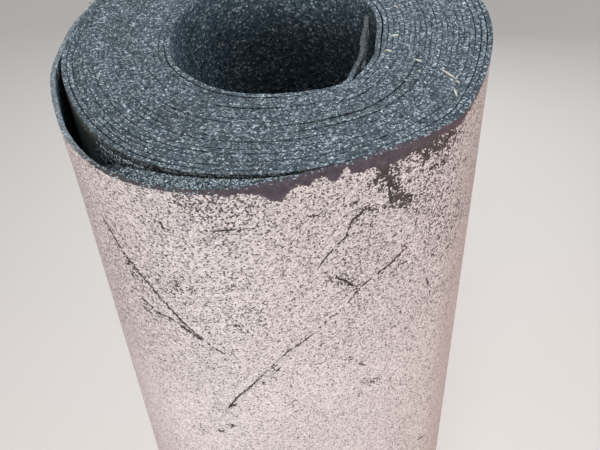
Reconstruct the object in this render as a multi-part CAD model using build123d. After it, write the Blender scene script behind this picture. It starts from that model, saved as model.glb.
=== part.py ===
from build123d import *

import os
from math import asin, cos, degrees, floor, radians, sin, sqrt, tan

# Roll of mineral-faced roofing felt, stood on its end.
#
# One sheet of felt is wound from the inside outwards, clockwise as seen from above. The
# outermost turn hangs slack over part of its round. The inner end has a crease where it
# leaves the wall of the bore, and stands in from it.
#
# Millimetres and degrees. +Z is up, the origin is on the winding's axis at the lower end,
# and plan angles are measured from +X towards +Y.

# The sheet
felt_width = 1000.0
felt_thickness = 2.25

# The winding
bore_radius = 49.0
whole_turns = 21
inner_end_angle = -52.0
outer_end_angle = 128.0

# The notch between one turn and the next, as it shows on each end
joint_width = 0.8
joint_depth = 1.5

# The slack in the outermost turn: where its crest is, how far it stands out, and half
# of the plan angle that the whole stretch, its crest and each closed end take up
slack_angle = -126.0
slack_rise = 9.0
slack_half_span = 52.0
slack_crest_half_span = 24.0
slack_closed_span = 7.0

# The inner end: the angle of its crease, its own curve and how far that runs
flap_crease = 17.0
flap_radius = 80.0
flap_span = 38.0

# How far a joint is cut on into the gap that it meets, as a plan angle
joint_overrun = 1.5

# Ends of lines nearer than this are one point
same_point = 0.0001


def direction(angle):
    """Unit vector in plan."""
    return Vector(cos(radians(angle)), sin(radians(angle)))


def turn_share(start, end):
    """Share of a turn from one plan angle to another, the way the sheet is wound."""
    return (start - end) % 360 / 360


def winding_angle(turn):
    """Plan angle that the winding has reached after so many turns."""
    return inner_end_angle - 360 * turn


def half_turn(index):
    """Centre and radius of a half turn. Two centres, half a thickness apart, take turns."""
    centre = direction(inner_end_angle) * (index % 2) * felt_thickness / 2
    return centre, bore_radius + index * felt_thickness / 2


def half_turn_spans(first, last):
    """Each half turn's share of the winding between two counts of turns."""
    joins = [i / 2 for i in range(floor(2 * first) + 1, floor(2 * last) + 1) if i / 2 < last]
    stops = [first, *joins, last]
    return list(zip(stops, stops[1:]))


def winding_line(first, last, offset=0.0):
    """The winding between two counts of turns, with one arc for each half turn."""
    arcs = []
    for start, end in half_turn_spans(first, last):
        centre, radius = half_turn(floor(start + end))
        bearings = (winding_angle(turn) for turn in (start, (start + end) / 2, end))
        arcs.append(ThreePointArc(*(centre + direction(b) * (radius + offset) for b in bearings)))
    return arcs


turns = whole_turns + turn_share(inner_end_angle, outer_end_angle)
slack_turn = floor(turns) + turn_share(inner_end_angle, slack_angle)


def slack_line(offset, half_span):
    """The slack stretch at an offset outwards from the sheet's inner face, as three arcs.

    A crest arc stands between two flank arcs of a longer radius. They are tangent to it,
    and to the round of the winding at the ends of the whole stretch. A half span under
    the whole one cuts the flanks short, as seen from the winding's centre.
    """
    centre, round_radius = half_turn(floor(2 * slack_turn))
    whole, crest = radians(slack_half_span), radians(slack_crest_half_span)
    crest_shift_ratio = sin(whole) / tan(crest) - cos(whole)
    flank_shift = slack_rise / (1 + crest_shift_ratio - sin(whole) / sin(crest))
    flank_radius = round_radius + flank_shift
    crest_shift = flank_shift * crest_shift_ratio
    crest_radius = round_radius + slack_rise - crest_shift
    crest_centre = centre + direction(slack_angle) * crest_shift

    cut = whole - radians(half_span)
    reach = sqrt(flank_radius**2 - (flank_shift * sin(cut)) ** 2) - flank_shift * cos(cut)
    flank_end = slack_half_span - degrees(asin(reach * sin(cut) / flank_radius))

    def flank_point(side, bearing):
        flank_centre = centre - direction(slack_angle + side * slack_half_span) * flank_shift
        return flank_centre + direction(slack_angle + side * bearing) * (flank_radius + offset)

    def flank_points(side):
        bearings = (flank_end, (flank_end + slack_crest_half_span) / 2, slack_crest_half_span)
        return [flank_point(side, bearing) for bearing in bearings]

    first, second = flank_points(1), flank_points(-1)
    top = crest_centre + direction(slack_angle) * (crest_radius + offset)
    return [
        ThreePointArc(*first),
        ThreePointArc(first[-1], top, second[-1]),
        ThreePointArc(*reversed(second)),
    ]


def closed_face(*lines):
    """Face inside a run of lines, each joined to the next one's start by a straight edge."""
    edges = []
    for line, following in zip(lines, [*lines[1:], lines[0]]):
        edges += line
        start, end = line[-1] @ 1, following[0] @ 0
        if (end - start).length > same_point:
            edges.append(Line(start, end))
    return make_face(edges)


def backwards(line):
    """The same run of arcs, from its end to its start."""
    return [ThreePointArc(edge @ 1, edge @ 0.5, edge @ 0) for edge in reversed(line)]


def outline_section():
    """Everything inside the outer face of the last turn, with its slack and its end."""
    reach = slack_half_span / 360
    return closed_face(
        winding_line(turns - 1, slack_turn - reach, felt_thickness),
        slack_line(felt_thickness, slack_half_span),
        winding_line(slack_turn + reach, turns, felt_thickness),
    )


def bore_section():
    """The bore, inside the inner face of the first turn."""
    return closed_face(winding_line(0, 1))


def slack_gap_section():
    """The gap between the slack stretch and the turn under it."""
    half_span = slack_half_span - slack_closed_span
    reach = half_span / 360
    under = winding_line(slack_turn - reach, slack_turn + reach)
    return closed_face(slack_line(0, half_span), backwards(under))


def flap_section():
    """The inner end of the sheet, from its crease on the wall of the bore to its cut edge."""
    start = inner_end_angle + flap_crease
    crease_point = winding_line(0, 1)[-1] @ 1
    centre = crease_point - direction(start) * flap_radius
    outer = [CenterArc(centre, flap_radius, start, flap_span)]
    inner = [CenterArc(centre, flap_radius - felt_thickness, start, flap_span)]
    return closed_face(outer, backwards(inner))


def joint_cuts(first, last, height, depth):
    """Notches along the joint from one count of turns to another, down or up from a height."""
    overrun = joint_overrun / 360
    cuts = []
    for start, end in half_turn_spans(first - overrun, last + overrun):
        centre, radius = half_turn(floor(start + end))
        mouth = [(radius - joint_width / 2, 0, 0), (radius + joint_width / 2, 0, 0)]
        notch = make_face(Polyline(*mouth, (radius, 0, depth), close=True))
        sweep_angle = winding_angle(start) - winding_angle(end)
        ring = revolve(notch, Axis.Z, sweep_angle)
        cuts.append(Pos(centre.X, centre.Y, height) * Rot(Z=winding_angle(end)) * ring)
    return cuts


def felt_roll():
    """The roll: its section run up to the felt's width, with the joints cut into both ends."""
    section = outline_section() - bore_section() - slack_gap_section() + flap_section()
    roll = extrude(section, felt_width)
    open_reach = (slack_half_span - slack_closed_span) / 360
    for height, depth in ((0, joint_depth), (felt_width, -joint_depth)):
        roll -= joint_cuts(1, slack_turn - open_reach, height, depth)
        roll -= joint_cuts(slack_turn + open_reach, turns, height, depth)
    return roll


os.makedirs("parts", exist_ok=True)
roll = felt_roll()
roll.label = "felt_roll"
export_step(roll, "parts/felt_roll.step")
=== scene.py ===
from contextlib import contextmanager
from math import ceil, cos, floor, pi, radians, sin, tau

import bpy
import numpy as np
from mathutils import Matrix, Vector


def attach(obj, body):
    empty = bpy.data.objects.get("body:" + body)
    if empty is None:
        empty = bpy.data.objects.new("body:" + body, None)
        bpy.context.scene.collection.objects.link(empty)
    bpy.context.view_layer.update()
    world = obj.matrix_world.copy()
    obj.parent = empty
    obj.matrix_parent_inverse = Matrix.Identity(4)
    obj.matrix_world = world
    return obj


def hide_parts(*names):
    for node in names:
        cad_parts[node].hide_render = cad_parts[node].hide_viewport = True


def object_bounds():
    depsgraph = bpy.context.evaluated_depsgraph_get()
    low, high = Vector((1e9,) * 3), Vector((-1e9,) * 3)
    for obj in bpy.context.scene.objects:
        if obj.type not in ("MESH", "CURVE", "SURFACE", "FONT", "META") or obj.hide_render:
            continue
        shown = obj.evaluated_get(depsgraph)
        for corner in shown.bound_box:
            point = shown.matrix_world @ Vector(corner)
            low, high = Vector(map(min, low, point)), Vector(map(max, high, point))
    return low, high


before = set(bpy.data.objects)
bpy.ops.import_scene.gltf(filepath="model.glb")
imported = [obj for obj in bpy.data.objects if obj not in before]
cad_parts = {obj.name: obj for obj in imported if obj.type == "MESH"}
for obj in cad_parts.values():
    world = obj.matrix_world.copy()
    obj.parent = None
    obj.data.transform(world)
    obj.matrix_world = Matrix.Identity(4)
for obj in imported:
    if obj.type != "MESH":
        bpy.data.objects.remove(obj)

bl_info = {
    "name": "Roll of Roofing Felt",
    "version": (1, 0, 0),
    "blender": (4, 5, 0),
    "location": "3D View > Sidebar > Felt",
    "description": "Winds a roll of mineral-faced roofing felt and sets it on a plain floor",
    "category": "Add Mesh",
}

# Metres and radians, unless a name or comment says otherwise. Plan angles are measured from
# +X towards +Y, and the winding runs outwards clockwise, as seen from above.
MM = 0.001
solid_low, solid_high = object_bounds()

# Height of the roll's upper end
TOP = solid_high.z

# The real turns

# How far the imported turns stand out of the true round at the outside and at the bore, as
# (plan angle in degrees, millimetres)
OUTER_ROUND = (
    (-174, 0.5), (-156, 1.0), (-142, 2.2), (-131, 2.9), (-122, 2.1), (-112, 0.1), (-103, -1.5),
    (-94, -2.4), (-84, -3.3), (-75, -3.9), (-63, -3.4), (-50, -1.0), (-42, 0.8), (-32, -0.5),
    (-19, -1.0), (-2, 0.6), (12, 1.4), (60, 0.3), (110, -0.8), (145, -3.0), (159, -4.2),
    (167, -2.4), (176, -1.2),
)
BORE_ROUND = (
    (-178, 0.2), (-160, 0.6), (-143, -0.7), (-120, -2.1), (-100, -3.5), (-88, -3.7), (-75, -2.6),
    (-57, 0.2), (-43, -1.6), (-25, -2.8), (-12, -4.4), (15, -2.0), (60, 0.0), (120, 0.5),
)
# How far the slack in the outermost turn stands out from the turn under it, and how much
# further its upper edge flares out
SLACK = (
    (-178, 0.2), (-171, 1.0), (-163, 2.4), (-155, 4.2), (-149, 5.9), (-143, 7.2), (-132, 8.5),
    (-118, 8.8), (-112, 8.6), (-106, 7.4), (-100, 5.5), (-95, 3.8), (-90, 2.2), (-85, 0.7),
    (-80, 0.0), (0, 0.0), (120, 0.0), (172, 0.0),
)
LIP_FLARE = ((-178, 0.5), (-170, 1.2), (-155, 1.0), (-140, 0.5), (-115, 0.2), (-90, 0.0), (150, 0.0))
# Turns back from the outer end over which the sheet can hang slack
SLACK_TURNS = 0.8
# How far the flap at the inner end stands off the round that the bore has, and the turns
# over which it comes to
FLAP_STANDS_OFF, FLAP_LIFT_TURNS = 1.2 * MM, 0.14
# The turns near both ends of the sheet that are looser, and by how much each turn is
OUTER_LOOSE_TURNS, OUTER_LOOSENESS = 3.2, 0.26 * MM
INNER_LOOSE_TURNS, INNER_LOOSENESS = 2.2, 0.35 * MM
# How far the turns wander from their curve, and about how far along the sheet a swing is
WANDER, WANDER_LENGTH = 0.12 * MM, 35 * MM
# The out-of-round felt is drawn in by this much, to stay within the round of the solid
DRAWN_IN = 0.975
# Where the outermost turn's upper edge hangs low, as (plan angle in degrees, millimetres)
LIP_DIP = ((-175, 1.2), (-140, 1.6), (-110, 0.9), (-80, 0.3), (0, 0.0), (120, 0.4))

# The sheet

# Count of turns at which the outer piece goes on from the inner one, under the outermost turn
OUTER_TURN_START = 20.45
# Plan angles, in degrees, between which the outer turn has its points close together, and
# the least distance between points
FRONT = (-4, -182)
LEAST_STEP = 0.5 * MM
# How far the cut edges stand in from the ends of the solid, how far they wander from that,
# and how far from each end the rows of points are moved along with them
UPPER_EDGE_IN, LOWER_EDGE_IN, EDGE_WANDER = 0.9 * MM, 0.7 * MM, 0.3 * MM
UPPER_EDGE_REACH, LOWER_EDGE_REACH = 50 * MM, 40 * MM
# The worn corners of the cut edges: their width, and how far the edge's middle stands up
CORNER_INSET = 0.45 * MM
CORNER_RISE = 0.25 * CORNER_INSET
# How far a point of a cut edge is moved by chance, at the most
RIM_ROUGHNESS = 0.16 * MM
# Faces that meet at a smaller angle are shaded as one
SMOOTH_UP_TO = radians(50)
# Points nearer than this are one
SAME_PLACE = 0.005 * MM
# How many random heights a ripple runs through before it repeats, and where it starts
RIPPLE_HEIGHTS, RIPPLE_START = 4096, 64.5
# Seeds of the random numbers
INNER_SEED, OUTER_SEED = 11, 31
INNER_RIM_SEED, OUTER_RIM_SEED = 5, 6
GRANULE_SEED, SPLINTER_SEED = 77, 60

# Dirt on the roll

# Surface of the loose granules that are lodged in the slack, as (plan angle in degrees,
# millimetres below the roll's upper end)
LODGED = (
    (-148, 30.0), (-141, 19.0), (-135, 11.0), (-129, 6.2), (-122, 3.8), (-112, 2.8), (-98, 2.6),
    (-84, 2.6),
)
# The bed of lodged granules: its depth, the share of its width that it reaches into each
# face beside it, and how far the middles of single granules are above it
BED_DEPTH, BED_OVERLAP, LODGED_PROUD = 3 * MM, 0.04, 0.15 * MM
# Granules strewn on the upper end: their least and greatest radius from the axis, in
# millimetres, and how far their middles are below the end of the solid
STREWN_BETWEEN, STREWN_BELOW = (54, 93), 0.62 * MM
# Wood splinters on the upper end: each end as (millimetres from the axis, plan angle in
# degrees), and the width in millimetres
SPLINTERS = (
    ((52.5, -10.0), (56.6, -9.0), 0.9),
    ((52.2, -21.8), (55.4, -22.4), 0.8),
    ((66.6, -24.8), (69.6, -25.4), 0.9),
    ((70.2, -30.5), (71.5, -31.2), 1.1),
    ((78.6, -27.0), (87.3, -30.0), 0.8),
    ((87.5, -30.6), (89.6, -31.4), 0.6),
    ((88.7, -34.0), (92.4, -37.0), 0.8),
    ((58.4, 15.0), (59.6, 13.0), 0.7),
)
# How far the splinters' middles are below the end of the solid, and how much higher one
# tip is than the other
SPLINTERS_BELOW, SPLINTER_TILT = 0.45 * MM, 0.15 * MM

# Marks on the mineral face

# Radius that plan angles on the mineral face are turned into lengths with
FACE_RADIUS = 100 * MM
# Depth of a crack's trough and height of the ridge beside it, in millimetres
TROUGH_DEPTH, RIDGE_HEIGHT = 0.5, 0.25
# Offset from a crack, in its half widths, where there is none
NO_CRACK_NEAR = 9.0
# Cracks in the mineral face: half width in millimetres, how unbroken the crack is, then
# (plan angle in degrees, millimetres below the upper edge) from end to end
CRACKS = (
    (0.45, 1.0, ((-136.5, 33), (-134, 40), (-131.5, 49), (-128.5, 55.5), (-124.5, 65.5),
                (-120.5, 77), (-117, 86.5), (-114, 93.5), (-112.5, 97))),
    (0.35, 0.62, ((-112.7, 96.5), (-110, 102), (-108.5, 105))),
    (0.35, 0.35, ((-131.5, 54), (-131, 59), (-130, 62.5), (-128.5, 68))),
    (0.38, 1.0, ((-111.2, 155), (-107.5, 141.5), (-103.5, 132.5), (-99, 121.5), (-97.5, 118.5))),
    (0.33, 0.5, ((-98.5, 120.5), (-95, 113), (-92, 107.5), (-86, 101.5), (-80.5, 92.5),
                 (-76.5, 88.5), (-71.5, 77))),
    (0.5, 0.9, ((-71.5, 77), (-65.5, 71), (-62.5, 69), (-59.5, 65), (-58, 63))),
    (0.5, 0.7, ((-100, 128.5), (-99.7, 131))),
    (0.5, 0.7, ((-96.2, 122.5), (-95, 120))),
    (0.4, 0.5, ((-108.5, 148.5), (-107.3, 148))),
    (0.42, 0.6, ((-82.5, 54), (-80.5, 49.5), (-77, 43.5), (-75.3, 41), (-74.7, 36), (-73.5, 32.5),
                 (-71, 29), (-69.5, 27.5))),
    (0.4, 0.45, ((-111.5, 22.2), (-105, 22.6), (-98, 23.2), (-92.5, 23.8), (-90, 23.8))),
    (0.4, 0.4, ((-85, 23.2), (-81.5, 24.6), (-78.5, 23.8))),
    (0.45, 0.7, ((-78.5, 23.8), (-74.5, 22.8), (-71.8, 22.2))),
    (0.45, 0.35, ((-68.3, 43), (-69.3, 49), (-69, 53.5), (-66.3, 56), (-65.4, 55.3))),
    (0.5, 0.8, ((-58, 72), (-56, 71.3))),
    (0.5, 0.45, ((-40.5, 79.5), (-42.7, 82), (-45.5, 85.5))),
    (0.35, 0.3, ((-50.5, 85), (-48.5, 97), (-47, 107.5))),
    (0.4, 0.35, ((-52.6, 107), (-51, 116))),
    (0.8, 1.0, ((-118.6, 20), (-118, 21.3))),
    (0.5, 0.55, ((-53, 21.3), (-50.2, 20), (-45.8, 20.4), (-44.6, 20))),
    (0.45, 0.5, ((-59.2, 22.7), (-57.5, 21.3), (-53.5, 23))),
    (0.5, 0.9, ((-58.3, 29.4), (-56.4, 31))),
    (0.45, 0.5, ((-38.7, 56), (-34.8, 57))),
    (0.3, 0.25, ((-104.8, 72), (-102, 72.5), (-99.5, 73.3))),
    (0.5, 0.6, ((-44.5, 259), (-41.3, 257))),
)

# Cracks close beside those, in a list of their own because a point can be near one of each
BRANCHES = (
    (0.45, 1.0, ((-129, 77.5), (-127.5, 79), (-126, 81), (-124.5, 81.5))),
    (0.45, 0.8, ((-129, 84), (-127.5, 86), (-126, 86.5), (-124, 83.5), (-122.3, 83.2))),
    (0.5, 1.0, ((-122.3, 83.2), (-119, 86.5), (-116, 91.5), (-113.5, 96))),
    (0.4, 0.6, ((-82.2, 63), (-80, 66.5), (-78.6, 64), (-75.8, 69), (-72.5, 76))),
)
CRACK_KINDS = {"crack": CRACKS, "branch": BRANCHES}

# Rubbed places: half width in millimetres, share of the granules lost, then a route as above
RUBS = (
    (2.2, 0.35, ((-118.3, 57), (-117.4, 58), (-116.5, 60), (-114, 59.5))),
    (1.0, 0.5, ((-129.3, 56), (-127.6, 60))),
    (0.9, 0.45, ((-106, 22.6), (-101, 23.8))),
    (7.0, 0.2, ((-109, 9), (-104, 14), (-98, 14))),
    (0.9, 0.8, ((-104.3, 84), (-104.1, 84.4))),
    (1.3, 1.2, ((-110, 166.6), (-109.8, 167))),
    (1.3, 1.2, ((-113.4, 173), (-113.1, 173.3))),
    (0.8, 0.7, ((-83.4, 110.2), (-83.2, 110.5))),
    (1.0, 0.6, ((-115.8, 70), (-115.5, 70.4))),
    (1.0, 0.6, ((-114.3, 82.4), (-114, 82.8))),
    (2.5, 0.3, ((-113.4, 6), (-112.5, 8))),
    (2.6, 0.33, ((-79, 64.5), (-75.8, 69), (-72.5, 75.5))),
    (1.8, 0.5, ((-73.5, 32), (-71, 29), (-69.4, 27.5), (-65.3, 30.5), (-62, 31))),
    (3.4, 0.85, ((-67, 1), (-65.2, 10.5), (-63.6, 17), (-62.7, 22.5), (-60.4, 29), (-58.8, 32.5))),
    (1.3, 0.6, ((-66.5, 12.5), (-68.1, 15), (-66.4, 19.5), (-64.7, 18))),
    (1.8, 0.6, ((-62.8, 5), (-61.7, 14.5))),
    (2.6, 0.65, ((-56.2, 5), (-53.4, 13))),
    (2.8, 0.75, ((-54.5, 5), (-50, 11))),
    (2.6, 0.65, ((-51, 5), (-46, 10.5))),
    (2.4, 0.5, ((-46, 6), (-42.3, 10))),
    (9.0, 0.26, ((-58, 10), (-48, 18))),
    (1.3, 0.6, ((-54.7, 41.5), (-54.2, 42))),
    (1.4, 0.5, ((-41.1, 67.5), (-40.7, 68))),
    (1.4, 0.5, ((-47, 52), (-46.6, 52.6))),
    (1.4, 0.4, ((-36.2, 31), (-35.6, 33))),
    (12.0, 0.16, ((-50, 34), (-40, 70))),
    (3.6, 0.3, ((-69, 154), (-66.5, 156))),
    (1.6, 0.5, ((-74.5, 128), (-74, 128.5))),
    (1.4, 0.5, ((-70.8, 135), (-70.4, 136))),
    (1.2, 0.6, ((-66.6, 155.5), (-65.8, 156))),
    (1.4, 0.5, ((-61, 159), (-60.4, 160))),
    (1.3, 0.6, ((-60.2, 169.5), (-59, 171.5))),
    (1.5, 0.4, ((-71.3, 162), (-70.6, 163))),
    (4.0, 0.12, ((-119.5, 175), (-118.5, 178))),
)

# Lower edge of the bare strip under the outer turn's upper edge, as (plan angle in degrees,
# millimetres below the roll's upper end)
BARE_STRIP = (
    (-180, 1.0), (-150, 1.2), (-125, 1.5), (-112, 2.0), (-108, 2.6), (-104, 3.4), (-99, 4.2),
    (-96, 5.8), (-93.5, 9.0), (-91.5, 11.0), (-90, 8.8), (-88.5, 5.2), (-86.5, 4.6), (-85, 6.8),
    (-83, 4.0), (-80.5, 4.6), (-78.8, 8.4), (-77, 5.6), (-75.5, 2.6), (-74, 5.4), (-71.5, 7.2),
    (-68.5, 6.4), (-65.5, 7.6), (-62.5, 7.0), (-59.5, 7.8), (-57.5, 5.0), (-53, 5.6), (-49.5, 4.4),
    (-44.5, 5.2), (-38, 3.0), (-28, 1.6), (0, 1.0), (90, 1.2),
)

# Values of noise between which large patches change from dark to light
WIDE_SPREAD = (0.25, 0.75)

# The studio

FLOOR_SIZE = 12.0
# How far below the upper end the lamps are aimed
AIM_BELOW = 0.1
# Lamps: colour, size, and place from the middle of the roll's upper end
LAMPS = (
    ("key", (1.0, 1.0, 1.0), 0.7, (-0.2, -1.35, 0.2)),
    ("sky", (0.84, 0.93, 1.0), 0.3, (0.2, 0.12, 0.5)),
    ("warm_right", (1.0, 0.5, 0.38), 0.8, (1.1, -0.2, -0.3)),
    ("warm_left", (1.0, 0.5, 0.38), 0.8, (-1.15, -0.05, -0.35)),
    ("rear", (1.0, 1.0, 1.0), 0.8, (0.2, 1.5, -0.2)),
)


def length_property(name, description, default, **limits):
    return bpy.props.FloatProperty(
        name=name, description=description, default=default,
        subtype="DISTANCE", unit="LENGTH", **limits,
    )


def angle_property(name, description, default):
    return bpy.props.FloatProperty(
        name=name, description=description, default=default, subtype="ANGLE", unit="ROTATION"
    )


def colour_property(name, description, default):
    return bpy.props.FloatVectorProperty(
        name=name, description=description, default=default,
        subtype="COLOR", size=3, min=0.0, max=1.0,
    )


def strength_property(name, description, default):
    return bpy.props.FloatProperty(name=name, description=description, default=default, min=0.0)


class FeltWinding(bpy.types.PropertyGroup):
    """Sizes of the felt and of its winding"""

    width: length_property(
        "Width", "Width of the felt, which is the height of the roll", solid_high.z - solid_low.z
    )
    pitch: length_property("Pitch", "From one turn to the next", 2.25 * MM)
    gauge: length_property("Gauge", "Thickness of the sheet", 2.2 * MM)
    bore_radius: length_property("Bore radius", "Radius where the winding starts", 49.0 * MM)
    turns: bpy.props.FloatProperty(
        name="Turns", description="Turns from the crease of the inner end to the outer end",
        default=21.5,
    )
    inner_end_angle: angle_property(
        "Inner end", "Plan angle of the crease at the inner end", radians(-52.0)
    )
    flap_crease: angle_property(
        "Flap crease", "How sharply the inner end is creased", radians(17.0)
    )
    flap_radius: length_property(
        "Flap radius", "Radius that the flap at the inner end is curved to", 80.0 * MM
    )
    flap_span: angle_property(
        "Flap span", "Angle that the flap runs round its own radius", radians(38.0)
    )


def direction(angle):
    """Unit vectors in plan for one or many plan angles."""
    return np.stack([np.cos(angle), np.sin(angle)], axis=-1)


def bearing(points):
    """Plan angle of each point, from the roll's axis."""
    return np.arctan2(points[:, 1], points[:, 0])


def half_turn(winding, index):
    """Centre and radius of the outer face on a half turn. Two centres take turns."""
    centre = direction(winding.inner_end_angle) * (index % 2) * winding.pitch / 2
    return centre, winding.bore_radius + winding.pitch + index * winding.pitch / 2


def turn_share(winding, angle):
    """Share of a turn from the inner end to a plan angle, the way that the felt is wound."""
    return (winding.inner_end_angle - angle) % tau / tau


def ease(share):
    """A share from 0 to 1, with a smooth start and end."""
    return share**2 * (3 - 2 * share)


def smooth_through(points, angles):
    """Closed smooth curve through (plan angle in degrees, millimetres) points, in metres."""
    knots = np.radians([p[0] for p in points])
    rises = np.array([p[1] for p in points]) * MM
    knots = np.concatenate([knots[-2:] - tau, knots, knots[:3] + tau])
    rises = np.concatenate([rises[-2:], rises, rises[:3]])
    angles = (np.asarray(angles) - knots[2]) % tau + knots[2]
    i = np.clip(np.searchsorted(knots, angles, side="right") - 1, 1, len(knots) - 3)
    slopes = (rises[2:] - rises[:-2]) / (knots[2:] - knots[:-2])
    gap = knots[i + 1] - knots[i]
    s = (angles - knots[i]) / gap
    start = rises[i] * (1 + 2 * s) * (1 - s) ** 2 + slopes[i - 1] * gap * s * (1 - s) ** 2
    end = rises[i + 1] * ease(s) - slopes[i] * gap * s**2 * (1 - s)
    return start + end


def ripple(along, length, seed):
    """Smooth random curve from -1 to 1 over a distance, with a swing about every length."""
    heights = np.random.default_rng(seed).uniform(-1, 1, RIPPLE_HEIGHTS)
    place = np.asarray(along) / length + RIPPLE_START
    cell = np.floor(place).astype(int)
    s = ease(place - cell)
    return heights[cell % RIPPLE_HEIGHTS] * (1 - s) + heights[(cell + 1) % RIPPLE_HEIGHTS] * s


def read_points(mesh):
    points = np.empty(len(mesh.vertices) * 3)
    mesh.vertices.foreach_get("co", points)
    return points.reshape(-1, 3)


def write_points(mesh, points):
    mesh.vertices.foreach_set("co", np.ascontiguousarray(points, dtype=np.float32).ravel())
    mesh.update()


def read_value(mesh, name):
    values = np.empty(len(mesh.vertices))
    mesh.attributes[name].data.foreach_get("value", values)
    return values


def write_value(mesh, name, values):
    attribute = mesh.attributes.get(name) or mesh.attributes.new(name, "FLOAT", "POINT")
    attribute.data.foreach_set("value", np.asarray(values, dtype=np.float32))


def read_faces(mesh, name):
    """A vector of each face: its normal or its center."""
    vectors = np.empty(len(mesh.polygons) * 3)
    mesh.polygons.foreach_get(name, vectors)
    return vectors.reshape(-1, 3)


def read_corners(mesh):
    """The point that each corner of each face is at."""
    corners = np.empty(len(mesh.loops), dtype=int)
    mesh.loops.foreach_get("vertex_index", corners)
    return corners


@contextmanager
def edit_mode(select=None):
    """Edit mode of the active object. All or none of its mesh is selected first, if asked."""
    bpy.ops.object.mode_set(mode="EDIT")
    if select:
        bpy.ops.mesh.select_all(action=select)
    yield
    bpy.ops.object.mode_set(mode="OBJECT")


def select_only(kind, elements, chosen):
    """Selects some points or faces of the active object, and nothing else."""
    with edit_mode():
        bpy.ops.mesh.select_mode(type=kind)
        bpy.ops.mesh.select_all(action="DESELECT")
    elements.foreach_set("select", np.asarray(chosen, dtype=bool))


def face_towards(mesh, towards):
    """Turns the active object's faces over, if most of them look away from a direction."""
    if np.median((read_faces(mesh, "normal") * towards).sum(axis=1)) < 0:
        with edit_mode("SELECT"):
            bpy.ops.mesh.flip_normals()


def thicken(piece, thickness, **settings):
    """Gives the active object's surface a thickness, on the side away from its normals."""
    solidify = piece.modifiers.new("thickness", "SOLIDIFY")
    solidify.thickness, solidify.offset = thickness, -1.0
    for name, value in settings.items():
        setattr(solidify, name, value)
    bpy.ops.object.modifier_apply(modifier="thickness")


def apply_place():
    bpy.ops.object.transform_apply(location=True, rotation=True, scale=True)


def join(pieces, name):
    """Joins objects into one."""
    bpy.ops.object.select_all(action="DESELECT")
    for piece in pieces:
        piece.select_set(True)
    bpy.context.view_layer.objects.active = pieces[0]
    bpy.ops.object.join()
    pieces[0].name = pieces[0].data.name = name
    return pieces[0]


def merge_points():
    """Merges points of the active object that are in the same place."""
    with edit_mode("SELECT"):
        bpy.ops.mesh.remove_doubles(threshold=SAME_PLACE)


def edge_of_sheet(heights, place):
    """A column of points, one above the other, where the sheet is to start."""
    bpy.ops.object.select_all(action="DESELECT")
    width = heights[-1] - heights[0]
    bpy.ops.mesh.primitive_grid_add(
        x_subdivisions=1, y_subdivisions=len(heights) - 1, size=width,
        location=(*place, width / 2), rotation=(pi / 2, 0, 0),
    )
    apply_place()
    piece = bpy.context.object
    select_only("VERT", piece.data.vertices, read_points(piece.data)[:, 0] > place[0])
    with edit_mode():
        bpy.ops.mesh.delete(type="VERT")
    points = read_points(piece.data)
    points[:, :2], points[:, 2] = place, heights
    write_points(piece.data, points)
    return piece


def arc_of(winding, first, last):
    """Centre and radius of the outer face on a stretch, its first bearing and its sweep."""
    if first < 0:
        start = winding.inner_end_angle + winding.flap_crease
        crease = half_turn(winding, 0)[1] * direction(winding.inner_end_angle)
        centre = crease - winding.flap_radius * direction(start)
        return centre, winding.flap_radius, start + winding.flap_span, winding.flap_span
    centre, radius = half_turn(winding, floor(first + last))
    return centre, radius, winding.inner_end_angle - first * tau, (last - first) * tau


def wind_part(winding, heights, stretches):
    """Spins the sheet's edge on through a few stretches of (first turn, last turn, steps)."""
    centre, radius, start, _ = arc_of(winding, *stretches[0][:2])
    piece = edge_of_sheet(heights, centre + radius * direction(start))
    turns = [np.array([stretches[0][0]])]
    with edit_mode("SELECT"):
        for first, last, steps in stretches:
            centre, _, _, sweep = arc_of(winding, first, last)
            bpy.ops.mesh.spin(
                steps=steps, angle=sweep, center=(*centre, 0.0), axis=(0, 0, 1),
                use_auto_merge=False,
            )
            turns.append(first + (last - first) * np.arange(1, steps + 1) / steps)
    write_value(piece.data, "turn", np.repeat(np.concatenate(turns), len(heights)))
    return piece


def wind(winding, name, heights, stretches):
    """Winds the sheet through stretches, two at a time, and joins what that makes."""
    pairs = [stretches[i:i + 2] for i in range(0, len(stretches), 2)]
    piece = join([wind_part(winding, heights, pair) for pair in pairs], name)
    merge_points()
    return piece


def stretches_between(winding, first, last, step_length):
    """Stretches of the winding with one arc each, stepped evenly."""
    joins = [i / 2 for i in range(floor(2 * first) + 1, ceil(2 * last))]
    stops = [first, *joins, last]
    found = []
    for start, end in zip(stops, stops[1:]):
        radius = half_turn(winding, floor(start + end))[1]
        found.append((start, end, max(1, round((end - start) * tau * radius / step_length))))
    return found


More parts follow.
